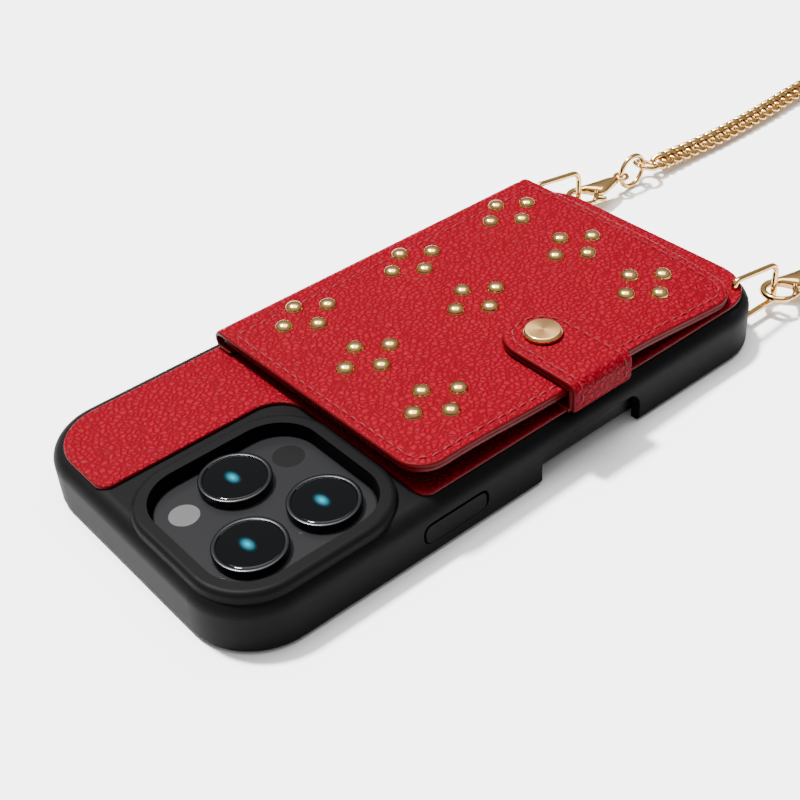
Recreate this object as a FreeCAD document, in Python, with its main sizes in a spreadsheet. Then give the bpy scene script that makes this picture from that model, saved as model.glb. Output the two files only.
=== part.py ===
import FreeCAD, Part
import math
import os
import re
import Sketcher
from FreeCAD import Placement, Rotation, Vector

# Crossbody wallet case for a phone: a soft moulded shell around the phone, a leather back panel
# with card pockets under a studded flap, a snap tab, two wire bails and a curb chain.
# Frame: millimetres, the case lies on its open (screen) side, +Z is the leather side, the
# camera end is at -Y, the chain end at +Y, the flap folds at -X and snaps shut at +X.

doc = FreeCAD.newDocument("PhoneWalletCase")
sheet = doc.addObject("Spreadsheet::Sheet", "Sizes")

SIZES = {
    # the phone that the case is moulded for
    "phone_width": 71.5, "phone_length": 146.6, "phone_thick": 8.25, "phone_corner": 12.5,
    "phone_edge": 1.5, "glass_thick": 0.7, "glass_inset": 1.6,
    "plateau_width": 36.3, "plateau_length": 37.5, "plateau_corner": 9.5, "plateau_height": 1.75,
    "plateau_from_side": 20.9, "plateau_from_end": 21.5, "plateau_round": 0.6,
    "lens_radius": 6.6, "lens_ring_radius": 7.5, "lens_ring_height": 2.1, "lens_seat": 0.55,
    "lens_pitch": 17.5, "lens_column": 7.85, "lens_side": 9.8, "window_thick": 0.5,
    "lamp_radius": 3.1, "sensor_radius": 3.4, "lamp_x": 9.3, "lamp_y": 12.6,
    "key_tall": 2.6, "key_proud": 0.1, "key_play": 0.1, "key_depth": 1.2, "key_travel": 0.6,
    "power_y": -22.9, "power_key_length": 11.0, "volume_y": -24.0, "volume_key_length": 8.0,
    "volume_pitch": 15.0, "touch_y": 16.7, "touch_length": 16.4, "touch_tall": 2.4,
    "socket_wide": 9.0, "socket_tall": 3.2, "socket_deep": 6.5,
    # moulded shell
    "phone_play": 0.15, "side_wall": 2.3, "front_lip": 1.2, "lip_round": 1.2, "back_wall": 2.6,
    "lining_thick": 0.35, "lining_gap": 0.1, "edge_round": 3.6,
    "opening_play": 0.5, "rim_width": 3.3, "rim_height": 1.7, "rim_round": 1.3,
    "slit_width": 0.7, "window_foot": 3.2, "window_top": 8.4, "window_corner": 2.2,
    "cover_gap": 0.1, "cover_thick": 1.4, "pip_inset": 0.8, "foot_gap": 0.15,
    "power_window": 17.2, "volume_window": 13.0,
    "recess_start": 0.5, "recess_end": 30.0, "recess_top": 8.4, "recess_corner": 4.0,
    "port_wide": 14.0, "port_tall": 6.4,
    # leather back panel and card pockets
    "leather_thick": 0.9, "panel_far_margin": 4.2, "panel_near_margin": 2.3, "panel_margin": 2.2,
    "panel_corner": 12.0, "notch_side": 6.0, "notch_end": 3.6, "notch_corner": 7.5,
    "tip_corner": 3.0, "pocket_width": 58.0, "pocket_margin": 3.4, "pocket_inset": 10.7,
    "pocket_corner": 4.0, "pocket_leaf": 0.45, "pocket_slot": 0.6, "pocket_seam": 2.5,
    "pocket_step": 4.0,
    # flap, its hinge spine and studs
    "hinge_inset": 6.5, "hinge_rise": 2.5, "spine_thick": 1.1, "spine_foot": 3.0,
    "flap_margin": 2.6, "flap_overlap": 0.7, "flap_end_margin": 10.6, "flap_corner": 6.5,
    "flap_start": 1.0, "flap_leather": 1.1, "flap_board": 0.4, "flap_lining": 0.6,
    "flap_lift": 0.4, "flap_play": 0.1, "stud_radius": 2.1, "stud_rise": 1.45,
    "stud_pitch_x": 21.9, "stud_border": 1.5, "stud_from_near": 36.8, "stud_shift": 1.15,
    "stud_half_x": 4.5, "stud_half_y": 6.1,
    # closing tab with its snap
    "tab_y": 17.6, "tab_width": 17.0, "tab_back": 17.1, "tab_out": 0.7, "tab_leather": 1.1,
    "tab_lining": 0.9, "tab_clear": 0.35, "tab_bend": 2.25, "tab_foot": 1.2,
    "root_length": 5.0, "root_thick": 0.9, "root_gap": 0.15,
    "cap_radius": 4.25, "cap_height": 1.4, "cap_bevel": 0.45, "shank_radius": 1.0,
    "socket_radius": 3.2, "socket_bore": 2.1, "post_radius": 1.5, "post_height": 0.9,
    "post_foot": 2.9, "post_foot_thick": 0.2,
    # wire bails at the chain end
    "bail_inset_x": 6.4, "bail_inset_y": 7.75, "bail_wire": 1.4, "bail_hole": 2.8,
    "bail_reach": 7.85, "bail_rise": 1.9, "bail_fall": 2.4, "bail_low": 2.9, "bail_stub": 1.7,
    "bail_knee": 1.4, "bail_shoulder": 2.8, "bail_heel": 2.0, "hole_floor": 0.5,
    # clasps, rings and the ends of the chain
    "hook_radius": 3.75, "hook_wire": 1.7, "hook_lead": 1.5, "clasp_lift": 4.9,
    "clasp_length": 12.0, "clasp_waist": 3.4, "clasp_tail": 1.6, "clasp_thick": 3.0,
    "neck_radius": 1.0, "neck_length": 1.3, "eye_radius": 1.75, "eye_wire": 1.0,
    "pin_radius": 0.4, "pin_play": 0.05, "pin_angle": 62.0, "pin_out": 3.9, "lever_thick": 1.4,
    "lever_gap": 0.2, "hub_radius": 1.0, "slot_depth": 6.6, "near_shift": 0.6,
    "spring_radius": 0.45, "spring_wire": 0.2, "spring_length": 1.5,
    "ring_radius": 4.35, "ring_wire": 1.3, "link_radius": 3.1, "link_wire": 1.2,
    "link_drop": 18.0,
    # free chain, its coil and the tie
    "chain_width": 5.2, "coil_x": 40.0, "coil_y": 175.0,
    "coil_outer": 34.6, "coil_turns": 4.0, "coil_lift": 0.6, "tie_width": 6.0, "tie_thick": 0.5,
    "tie_play": 0.3,
}

# Sizes that follow from the driving ones.
DERIVED = {
    "case_width": "phone_width + 2 * (phone_play + side_wall)",
    "case_length": "phone_length + 2 * (phone_play + side_wall)",
    "case_corner": "phone_corner + phone_play + side_wall",
    "near_side": "case_width / 2",
    "chain_end": "case_length / 2",
    "cavity_width": "phone_width + 2 * phone_play",
    "cavity_length": "phone_length + 2 * phone_play",
    "cavity_corner": "phone_corner + phone_play",
    "phone_back": "front_lip + phone_thick",
    "phone_middle": "front_lip + phone_thick / 2",
    "lining_top": "phone_back + lining_gap + lining_thick",
    "shell_top": "lining_top + back_wall",
    "plateau_x": "phone_width / 2 - plateau_from_side",
    "plateau_y": "plateau_from_end - phone_length / 2",
    "plateau_top": "phone_back + plateau_height",
    "opening_width": "plateau_width + 2 * opening_play",
    "opening_length": "plateau_length + 2 * opening_play",
    "opening_corner": "plateau_corner + opening_play",
    "rim_top": "shell_top + rim_height",
    "window_middle": "(window_foot + window_top) / 2",
    "cover_inside": "phone_width / 2 + key_proud + cover_gap",
    "panel_top": "shell_top + leather_thick",
    "panel_middle": "(panel_far_margin - panel_near_margin) / 2",
    "panel_width": "case_width - panel_far_margin - panel_near_margin",
    "notch_x": "plateau_x - opening_width / 2 - notch_side",
    "notch_y": "plateau_y + opening_length / 2 + notch_end",
    "pocket_thick": "pocket_leaf + pocket_slot",
    "flap_begin": "notch_y - flap_overlap",
    "flap_end": "chain_end - flap_end_margin",
    "flap_length": "flap_end - flap_begin",
    "flap_y": "(flap_begin + flap_end) / 2",
    "pocket_length": "flap_length - 2 * pocket_margin",
    "stud_y": "flap_y + stud_shift",
    "stud_pitch_y": "(flap_length - stud_border) / 3",
    "hinge_x": "hinge_inset - near_side",
    "hinge_z": "panel_top + hinge_rise",
    "flap_near": "near_side - flap_margin",
    "flap_under": "hinge_z + flap_lift",
    "flap_board_z": "flap_under + flap_lining",
    "flap_leather_z": "flap_board_z + flap_board",
    "flap_top": "flap_leather_z + flap_leather",
    "flap_width": "flap_near - hinge_x - flap_start",
    "flap_middle": "(flap_near + hinge_x + flap_start) / 2",
    "stud_x": "flap_near - stud_from_near",
    "tab_centre": "near_side - tab_back",
    "tab_fold": "near_side + tab_out",
    "tab_under": "flap_top + tab_clear",
    "tab_leather_z": "tab_under + tab_lining",
    "tab_top": "tab_leather_z + tab_leather",
    "tab_thick": "tab_leather + tab_lining",
    "bail_x": "near_side - bail_inset_x",
    "bail_hole_y": "chain_end - bail_inset_y",
    "bail_out": "chain_end + bail_reach",
    "bail_corner": "bail_x - near_side + case_corner",
    "bail_wall": "chain_end - case_corner + sqrt(case_corner ^ 2 - bail_corner ^ 2)",
    "clasp_y": "bail_out + hook_lead",
    "eye_y": "clasp_y + clasp_length + neck_length + eye_radius",
    "ring_y": "eye_y + ring_radius",
    "link_y": "ring_y + ring_radius - ring_wire + link_radius - link_wire / 2",
    "coil_inner": "coil_outer - (coil_turns - 1) * chain_width",
}
FUNCTIONS = {"sqrt"}
WORD = re.compile(r"[a-z_]+[a-z]")


def bind(formula):
    """Write a formula of size names as an expression on the sheet."""
    def lookup(match):
        word = match.group()
        if word in FUNCTIONS:
            return word
        if word in DERIVED:
            return "(" + bind(DERIVED[word]) + ")"
        return "Sizes." + word
    return WORD.sub(lookup, formula)


def value(formula):
    """The number that a formula of size names gives now."""
    return float(sheet.evalExpression(bind(formula)))


for row, (alias, number) in enumerate(SIZES.items(), start=1):
    sheet.set("A%d" % row, str(number))
    sheet.setAlias("A%d" % row, alias)
doc.recompute()


# ---------------------------------------------------------------- shared modelling steps

def origin_plane(body, role):
    return next(feature for feature in body.Origin.OriginFeatures if feature.Role == role)


def new_sketch(body, name, centre, plane="XY_Plane"):
    """A sketch on an origin plane of its body, moved to a centre given by three formulas."""
    sketch = body.newObject("Sketcher::SketchObject", name)
    sketch.AttachmentSupport = (origin_plane(body, plane), [""])
    sketch.MapMode = "FlatFace"
    for axis, formula in zip("xyz", centre):
        sketch.setExpression("AttachmentOffset.Base." + axis, bind(formula))
    return sketch


def named_constraint(sketch, name, formula, *constraint):
    index = sketch.addConstraint(Sketcher.Constraint(*constraint, value(formula)))
    sketch.renameConstraint(index, name)
    sketch.setExpression("Constraints." + name, bind(formula))


def rounded_rectangle(sketch, width, length, corner):
    """Four sides joined by four equal corner arcs, centred on the sketch's origin."""
    half_x, half_y, radius = value(width) / 2, value(length) / 2, value(corner)
    corners = [(1, -1), (1, 1), (-1, 1), (-1, -1)]
    ends = []
    for turn, (side_x, side_y) in enumerate(corners):
        centre = Vector(side_x * (half_x - radius), side_y * (half_y - radius), 0)
        first = math.radians(90 * turn - 90)
        arc = Part.ArcOfCircle(Part.Circle(centre, Vector(0, 0, 1), radius), first, first + math.pi / 2)
        ends.append((arc, arc.StartPoint, arc.EndPoint))
    for turn in range(4):
        arc, start, finish = ends[turn]
        previous_finish = ends[turn - 1][2]
        sketch.addGeometry(Part.LineSegment(previous_finish, start), False)
        sketch.addGeometry(arc, False)
    for index in range(8):
        sketch.addConstraint(Sketcher.Constraint("Tangent", index, 2, (index + 1) % 8, 1))
    for line, direction in ((0, "Horizontal"), (2, "Vertical"), (4, "Horizontal"), (6, "Vertical")):
        sketch.addConstraint(Sketcher.Constraint(direction, line))
    for arc_index in (3, 5, 7):
        sketch.addConstraint(Sketcher.Constraint("Equal", 1, arc_index))
    sketch.addConstraint(Sketcher.Constraint("Symmetric", 1, 3, 5, 3, -1, 1))
    named_constraint(sketch, "width", width, "DistanceX", 6, 1, 2, 1)
    named_constraint(sketch, "length", length, "DistanceY", 0, 1, 4, 1)
    named_constraint(sketch, "corner", corner, "Radius", 1)


def plain_rectangle(sketch, width, length):
    """Four sharp-cornered sides centred on the sketch's origin."""
    half_x, half_y = value(width) / 2, value(length) / 2
    spots = [Vector(-half_x, -half_y), Vector(half_x, -half_y), Vector(half_x, half_y),
             Vector(-half_x, half_y)]
    for index in range(4):
        sketch.addGeometry(Part.LineSegment(spots[index], spots[(index + 1) % 4]), False)
    for index in range(4):
        sketch.addConstraint(Sketcher.Constraint("Coincident", index, 2, (index + 1) % 4, 1))
        direction = "Vertical" if index % 2 else "Horizontal"
        sketch.addConstraint(Sketcher.Constraint(direction, index))
    sketch.addConstraint(Sketcher.Constraint("Symmetric", 0, 1, 2, 1, -1, 1))
    named_constraint(sketch, "width", width, "DistanceX", 0, 1, 0, 2)
    named_constraint(sketch, "length", length, "DistanceY", 1, 1, 1, 2)


def circle(sketch, radius):
    sketch.addGeometry(Part.Circle(Vector(0, 0, 0), Vector(0, 0, 1), value(radius)), False)
    sketch.addConstraint(Sketcher.Constraint("Coincident", 0, 3, -1, 1))
    named_constraint(sketch, "radius", radius, "Radius", 0)


def extrude(body, kind, sketch, depth, reverse=False):
    """Pad a sketch along its normal, or pocket it against its normal, and watch the volume."""
    feature = body.newObject("PartDesign::" + kind, sketch.Name + "_" + kind.lower())
    feature.Profile = sketch
    feature.setExpression("Length", bind(depth))
    feature.Reversed = reverse
    before = body.Shape.Volume if kind == "Pocket" else 0.0
    doc.recompute()
    if kind == "Pocket" and feature.Shape.Volume > before - 0.001:
        raise RuntimeError(sketch.Name + " cuts nothing")
    return feature


def round_edges(body, name, radius, test, kind="Fillet"):
    """Fillet or chamfer the edges of the body's tip that a test picks."""
    tip = body.Tip
    picked = ["Edge%d" % (i + 1) for i, edge in enumerate(tip.Shape.Edges) if test(edge)]
    feature = body.newObject("PartDesign::" + kind, name)
    feature.Base = (tip, picked)
    feature.setExpression("Radius" if kind == "Fillet" else "Size", bind(radius))
    doc.recompute()
    return feature


def edge_at_height(height):
    level = value(height)
    return lambda edge: all(abs(v.Z - level) < 1e-4 for v in edge.Vertexes) and abs(
        edge.BoundBox.ZLength) < 1e-4


def upright_edge_at(spots):
    return lambda edge: edge.BoundBox.ZLength > 0.1 and any(
        math.hypot(edge.CenterOfMass.x - x, edge.CenterOfMass.y - y) < 0.2 for x, y in spots)


def new_body(name):
    body = doc.addObject("PartDesign::Body", name)
    body.Label = name
    return body


def plate(name, centre, width, length, corner, thickness):
    """A flat sheet with rounded corners, its underside at the centre's height."""
    body = new_body(name)
    sketch = new_sketch(body, name + "_outline", centre)
    rounded_rectangle(sketch, width, length, corner)
    extrude(body, "Pad", sketch, thickness)
    return body


def disc(name, centre, radius, thickness, bore=None, bore_depth=None):
    """A round plate, with a bore from its top face that goes right through unless it has a depth."""
    body = new_body(name)
    sketch = new_sketch(body, name + "_outline", centre)
    circle(sketch, radius)
    extrude(body, "Pad", sketch, thickness)
    if bore:
        top = (centre[0], centre[1], centre[2] + " + " + thickness)
        drill(body, name + "_bore", top, bore, bore_depth or thickness)
    return body


def cut(body, name, centre, width, length, corner, depth, plane="XY_Plane", reverse=False):
    sketch = new_sketch(body, name, centre, plane)
    rounded_rectangle(sketch, width, length, corner)
    return extrude(body, "Pocket", sketch, depth, reverse)


def drill(body, name, centre, radius, depth):
    sketch = new_sketch(body, name, centre)
    circle(sketch, radius)
    return extrude(body, "Pocket", sketch, depth)


def shape_feature(name, shape, placement=None):
    """A piece whose curved shape comes from Part's own functions."""
    feature = doc.addObject("Part::Feature", name)
    feature.Label = name
    feature.Shape = shape
    feature.Placement = (placement or Placement()).multiply(shape.Placement)
    return feature


def path_wire(points, radii):
    """Straight runs joined by tangent arcs; a radius of None takes 0.45 of the shorter run."""
    edges = []
    start = points[0]
    used = []
    for before, corner, after, radius in zip(points, points[1:], points[2:], radii):
        incoming = (corner - before).normalize()
        outgoing = (after - corner).normalize()
        half_turn = incoming.getAngle(outgoing) / 2
        shorter = min((corner - before).Length, (after - corner).Length)
        setback = 0.45 * shorter if radius is None else radius * math.tan(half_turn)
        used.append(setback / math.tan(half_turn))
        first = corner - incoming * setback
        last = corner + outgoing * setback
        inward = (outgoing - incoming).normalize()
        middle = corner + inward * (used[-1] / math.cos(half_turn) - used[-1])
        edges.append(Part.LineSegment(start, first).toShape())
        edges.append(Part.Arc(first, middle, last).toShape())
        start = last
    edges.append(Part.LineSegment(start, points[-1]).toShape())
    return Part.Wire(edges), used


def round_tube(points, diameter, radii=None):
    """A solid of round section swept along straight runs and tangent arcs."""
    wire, used = path_wire(points, radii or [None] * (len(points) - 2))
    start = (points[1] - points[0]).normalize()
    section = Part.Wire(Part.Circle(points[0], start, diameter / 2).toShape())
    tube = wire.makePipeShell([section], True, False)
    expected = math.pi * diameter ** 2 / 4 * wire.Length
    if abs(tube.Volume / expected - 1) > 0.01:
        raise RuntimeError("tube volume is off: %g for %g" % (tube.Volume, expected))
    return tube, wire.Length, used


# ---------------------------------------------------------------- moulded shell and its covers

SIDES = {"near": 1, "far": -1}
WINDOWS = {
    "power": ("near", "power_y", "power_window", "power_key_length"),
    "volume_up": ("far", "volume_y - volume_pitch / 2", "volume_window", "volume_key_length"),
    "volume_down": ("far", "volume_y + volume_pitch / 2", "volume_window", "volume_key_length"),
}


def side_cut(body, name, side, y, z, wide, tall, corner, depth):
    """Cut into a long side from just outside it; the depth counts from the case's flank."""
    offset = "near_side + 1" if side == "near" else "0 - near_side - 1"
    cut(body, name, (y, z, offset), wide, tall, corner, "1 + " + depth, "YZ_Plane", side == "far")


def build_shell():
    body = new_body("case_shell")
    outline = new_sketch(body, "shell_outline", ("0", "0", "0"))
    rounded_rectangle(outline, "case_width", "case_length", "case_corner")
    extrude(body, "Pad", outline, "shell_top")
    round_edges(body, "shell_back_round", "edge_round", edge_at_height("shell_top"))
    round_edges(body, "shell_lip_round", "lip_round", edge_at_height("0"))
    rim = new_sketch(body, "camera_rim", ("plateau_x", "plateau_y", "shell_top - edge_round"))
    rounded_rectangle(rim, "opening_width + 2 * rim_width", "opening_length + 2 * rim_width",
                      "opening_corner + rim_width")
    extrude(body, "Pad", rim, "edge_round + rim_height")
    round_edges(body, "camera_rim_round", "rim_round", edge_at_height("rim_top"))
    cut(body, "phone_cavity", ("0", "0", "lining_top"), "cavity_width", "cavity_length",
        "cavity_corner", "lining_top + 1")
    cut(body, "camera_opening", ("plateau_x", "plateau_y", "rim_top + 1"), "opening_width",
        "opening_length", "opening_corner", "rim_height + back_wall + 2")
    for name, (side, y, window, _) in WINDOWS.items():
        side_cut(body, name + "_window", side, y, "window_middle", window,
                 "window_top - window_foot", "window_corner", "side_wall + phone_play / 2")
    side_cut(body, "touch_recess", "near", "(recess_start + recess_end) / 2",
             "recess_top / 2 - recess_corner", "recess_end - recess_start",
             "recess_top + 2 * recess_corner", "recess_corner", "side_wall + phone_play / 2")
    cut(body, "port_opening", ("0", "phone_middle", "0 - chain_end - 1"), "port_wide", "port_tall",
        "port_tall / 2 - 0.1", "side_wall + 1 + phone_play / 2", "XZ_Plane", True)
    for side, sign in SIDES.items():
        x = "%d * bail_x" % sign
        drill(body, side + "_bail_hole", (x, "bail_hole_y", "shell_top + 1"), "bail_hole / 2",
              "back_wall + 1 - hole_floor")
        foot = new_sketch(body, side + "_bail_foot", (x, "bail_low", "0 - chain_end - 1"), "XZ_Plane")
        circle(foot, "bail_hole / 2")
        extrude(body, "Pocket", foot, "chain_end + 1 - bail_wall + bail_stub + foot_gap", True)
    return body


def side_plate(name, side, y, z, inner, outer, wide, tall, corner):
    """A rounded plate set into a long side, between two distances from the middle plane."""
    body = new_body(name)
    offset = inner if side == "near" else "0 - (" + outer + ")"
    sketch = new_sketch(body, name + "_outline", (y, z, offset), "YZ_Plane")
    rounded_rectangle(sketch, wide, tall, corner)
    extrude(body, "Pad", sketch, "(" + outer + ") - (" + inner + ")")
    return body


def build_cover(name, side, y, window, key):
    """The tongue that the U-shaped slit frees in the wall, with a pip that pushes one key."""
    low = "window_foot + foot_gap"
    high = "window_top - slit_width"
    inner = "near_side - cover_thick"
    body = side_plate(name + "_cover", side, y, "(%s + %s) / 2" % (low, high), inner,
                      "near_side", window + " - 2 * slit_width", "%s - (%s)" % (high, low),
                      "window_corner - slit_width")
    offset = "cover_inside" if side == "near" else "0 - (%s)" % inner
    pip = new_sketch(body, name + "_pip", (y, "phone_middle", offset), "YZ_Plane")
    rounded_rectangle(pip, key + " - 2 * pip_inset", "key_tall - 2 * pip_inset",
                      "key_tall / 2 - pip_inset - 0.1")
    extrude(body, "Pad", pip, "%s - (cover_inside)" % inner)
    return body


# ---------------------------------------------------------------- phone

LENSES = {"lens_top": ("lens_column", "0 - lens_pitch / 2"),
          "lens_bottom": ("lens_column", "lens_pitch / 2"),
          "lens_middle": ("0 - lens_side", "0")}


def build_phone():
    frame = plate("phone_frame", ("0", "0", "front_lip"), "phone_width", "phone_length",
                  "phone_corner", "phone_thick")
    round_edges(frame, "phone_back_round", "phone_edge", edge_at_height("phone_back"))
    round_edges(frame, "phone_front_round", "phone_edge", edge_at_height("front_lip"))
    glass = ("phone_width - 2 * glass_inset", "phone_length - 2 * glass_inset",
             "phone_corner - glass_inset")
    cut(frame, "back_glass_seat", ("0", "0", "phone_back"), *glass, "glass_thick")
    cut(frame, "screen_seat", ("0", "0", "front_lip"), *glass, "glass_thick", reverse=True)
    cut(frame, "socket", ("0", "phone_middle", "0 - phone_length / 2 - 1"), "socket_wide",
        "socket_tall", "socket_tall / 2 - 0.1", "socket_deep + 1", "XZ_Plane", True)
    touch = ("touch_length", "touch_tall", "touch_tall / 2 - 0.05")
    side_cut(frame, "touch_seat", "near", "touch_y", "phone_middle", *touch,
             "near_side - phone_width / 2 + window_thick")
    for name, (side, y, _, key) in WINDOWS.items():
        side_cut(frame, name + "_key_slot", side, y, "phone_middle", key + " + 2 * key_play",
                 "key_tall + 2 * key_play", "key_tall / 2",
                 "near_side - phone_width / 2 + key_depth + key_travel + key_play")
    pieces = [frame]
    pieces.append(plate("phone_back_glass", ("0", "0", "phone_back - glass_thick"), *glass,
                        "glass_thick"))
    pieces.append(plate("phone_screen", ("0", "0", "front_lip"), *glass, "glass_thick"))
    pieces.append(side_plate("touch_control", "near", "touch_y", "phone_middle",
                             "phone_width / 2 - window_thick", "phone_width / 2", *touch))
    plateau = plate("camera_plateau", ("plateau_x", "plateau_y", "phone_back"), "plateau_width",
                    "plateau_length", "plateau_corner", "plateau_height")
    round_edges(plateau, "plateau_top_round", "plateau_round", edge_at_height("plateau_top"))
    windows = {"lamp_window": ("0 - lamp_y", "lamp_radius"),
               "depth_sensor": ("lamp_y", "sensor_radius")}
    for name, (y, radius) in windows.items():
        centre = ("plateau_x - lamp_x", "plateau_y + " + y, "plateau_top")
        drill(plateau, name + "_seat", centre, radius, "window_thick")
        pieces.append(disc(name, centre[:2] + ("plateau_top - window_thick",), radius, "window_thick"))
    pieces.append(plateau)
    for name, (x, y) in LENSES.items():
        spot = ("plateau_x + " + x, "plateau_y + " + y)
        pieces.append(disc(name + "_ring", spot + ("plateau_top",), "lens_ring_radius",
                           "lens_ring_height", "lens_radius", "lens_seat"))
        seat = "plateau_top + lens_ring_height - lens_seat"
        pieces.append(disc(name + "_glass", spot + (seat,), "lens_radius", "window_thick"))
    for name, (side, y, _, key) in WINDOWS.items():
        pieces.append(side_plate(name + "_key", side, y, "phone_middle",
                                 "phone_width / 2 - key_depth", "phone_width / 2 + key_proud", key,
                                 "key_tall", "key_tall / 2 - 0.1"))
    return pieces


# ---------------------------------------------------------------- leather back and pockets

def build_back():
    lining = plate("case_lining", ("0", "0", "lining_top - lining_thick"),
                   "cavity_width - 2 * lining_gap", "cavity_length - 2 * lining_gap",
                   "cavity_corner - lining_gap", "lining_thick")
    cut(lining, "lining_opening", ("plateau_x", "plateau_y", "lining_top"), "opening_width",
        "opening_length", "opening_corner", "lining_thick")
    panel = plate("back_panel", ("panel_middle", "0", "shell_top"), "panel_width",
                  "case_length - 2 * panel_margin", "panel_corner", "leather_thick")
    reach = value("case_length")
    notch_centre = ("notch_x + case_width / 2", "notch_y - case_length / 2", "panel_top")
    cut(panel, "camera_notch", notch_centre, "case_width", "case_length", "notch_corner",
        "leather_thick")
    tips = [(value("notch_x"), value("panel_margin") - reach / 2),
            (value("near_side - panel_near_margin"), value("notch_y"))]
    round_edges(panel, "panel_tips", "tip_corner", upright_edge_at(tips))
    for side, sign in SIDES.items():
        drill(panel, side + "_panel_hole", ("%d * bail_x" % sign, "bail_hole_y", "panel_top"),
              "bail_hole / 2", "leather_thick")
    pieces = [lining, panel]
    far_edge = "pocket_inset - near_side"
    for name, shorter, floor in (("pocket_rear", "0", "panel_top"),
                                 ("pocket_front", "pocket_step", "panel_top + pocket_thick")):
        wide = "(pocket_width - %s)" % shorter
        centre = ("%s + %s / 2" % (far_edge, wide), "flap_y", floor)
        pocket = plate(name, centre, wide, "pocket_length", "pocket_corner", "pocket_thick")
        slot_centre = (centre[0] + " + pocket_seam", "flap_y", floor + " + pocket_slot")
        cut(pocket, name + "_slot", slot_centre, wide, "pocket_length - 2 * pocket_seam",
            "pocket_corner - pocket_seam + 1", "pocket_slot")
        pieces.append(pocket)
    root_x = "near_side - tab_foot - root_length / 2"
    root = new_body("tab_root")
    sketch = new_sketch(root, "tab_root_outline", (root_x, "tab_y", "panel_top"))
    plain_rectangle(sketch, "root_length", "tab_width")
    extrude(root, "Pad", sketch, "root_thick")
    pieces.append(root)
    return pieces


# ---------------------------------------------------------------- flap, spine and studs

def build_flap():
    pieces = []
    layers = {"flap_lining": ("flap_under", "flap_lining"), "flap_board": ("flap_board_z", "flap_board"),
              "flap_leather": ("flap_leather_z", "flap_leather")}
    near = value("flap_near")
    ends = [(near, value("flap_y") + sign * value("flap_length") / 2) for sign in (-1, 1)]
    for name, (floor, thickness) in layers.items():
        body = new_body(name)
        sketch = new_sketch(body, name + "_outline", ("flap_middle", "flap_y", floor))
        plain_rectangle(sketch, "flap_width", "flap_length")
        extrude(body, "Pad", sketch, thickness)
        round_edges(body, name + "_corners", "flap_corner", upright_edge_at(ends))
        pieces.append(body)
    return pieces


def build_spine():
    """The leather bend that carries the flap: a foot on the panel, a half turn, a short top."""
    x, z = value("hinge_x"), value("hinge_z")
    outer = value("hinge_rise")
    inner = outer - value("spine_thick")
    top = value("flap_start - flap_play")
    foot = value("spine_foot")

    def spot(along, up):
        return Vector(x + along, 0, z + up)

    def bend(radius, first, last):
        return Part.Arc(spot(0, first * radius), spot(-radius, 0), spot(0, last * radius)).toShape()

    def run(*ends):
        return Part.LineSegment(spot(*ends[0]), spot(*ends[1])).toShape()

    edges = [run((top, outer), (0, outer)), bend(outer, 1, -1), run((0, -outer), (foot, -outer)),
             run((foot, -outer), (foot, -inner)), run((foot, -inner), (0, -inner)),
             bend(inner, -1, 1), run((0, inner), (top, inner)), run((top, inner), (top, outer))]
    length = value("flap_length")
    band = Part.Face(Part.Wire(edges)).extrude(Vector(0, length, 0))
    return shape_feature("flap_spine", band, Placement(Vector(0, value("flap_y") - length / 2, 0),
                                                       Rotation()))


def build_studs():
    """Eight diamonds of four domes; the ninth place belongs to the closing tab."""
    radius, rise = value("stud_radius"), value("stud_rise")
    ball = (radius ** 2 + rise ** 2) / (2 * rise)
    dome = Part.makeSphere(ball, Vector(0, 0, rise - ball)).common(
        Part.makeCylinder(radius * 1.1, rise * 1.1))
    half_x, half_y = value("stud_half_x"), value("stud_half_y")
    diamond = [(half_x, 0), (-half_x, 0), (0, half_y), (0, -half_y)]
    domes = []
    for row in (-1, 0, 1):
        for column in (-1, 0, 1):
            if (row, column) == (1, 0):
                continue
            middle = Vector(value("stud_x") + row * value("stud_pitch_x"),
                            value("stud_y") + column * value("stud_pitch_y"), value("flap_top"))
            domes += [dome.translated(middle + Vector(*offset)) for offset in diamond]
    return shape_feature("dome_studs", Part.makeCompound(domes))


# ---------------------------------------------------------------- closing tab and snap

def tab_layer(name, inside, outside):
    """One layer of the bent tab, between two depths measured inwards from its outer face."""
    fold, top = value("tab_fold"), value("tab_top")
    bend = value("tab_bend")
    tip = value("tab_centre - tab_width / 2 - 1")
    foot = value("panel_top + root_thick + root_gap")

    def profile(depth):
        turn = bend - depth
        centre = Vector(fold - bend, 0, top - bend)
        slant = Vector(turn * math.sqrt(0.5), 0, turn * math.sqrt(0.5))
        return (Vector(tip, 0, top - depth), centre + Vector(0, 0, turn), centre + slant,
                centre + Vector(turn, 0, 0), Vector(fold - depth, 0, foot))

    far, near = profile(outside), profile(inside)
    edges = []
    for line in (far, near):
        edges.append(Part.LineSegment(line[0], line[1]).toShape())
        edges.append(Part.Arc(line[1], line[2], line[3]).toShape())
        edges.append(Part.LineSegment(line[3], line[4]).toShape())
    edges.append(Part.LineSegment(far[0], near[0]).toShape())
    edges.append(Part.LineSegment(far[4], near[4]).toShape())
    width = value("tab_width")
    band = Part.Face(Part.Wire(Part.__sortEdges__(edges))).extrude(Vector(0, width, 0))
    band.translate(Vector(0, value("tab_y") - width / 2, 0))
    middle = Vector(value("tab_centre"), value("tab_y"), 0)
    height = top + 1
    plan = Part.makeCylinder(width / 2, height, middle).fuse(
        Part.makeBox(fold - middle.x + 1, width, height, middle - Vector(0, width / 2, 0)))
    return band.common(plan)


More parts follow.
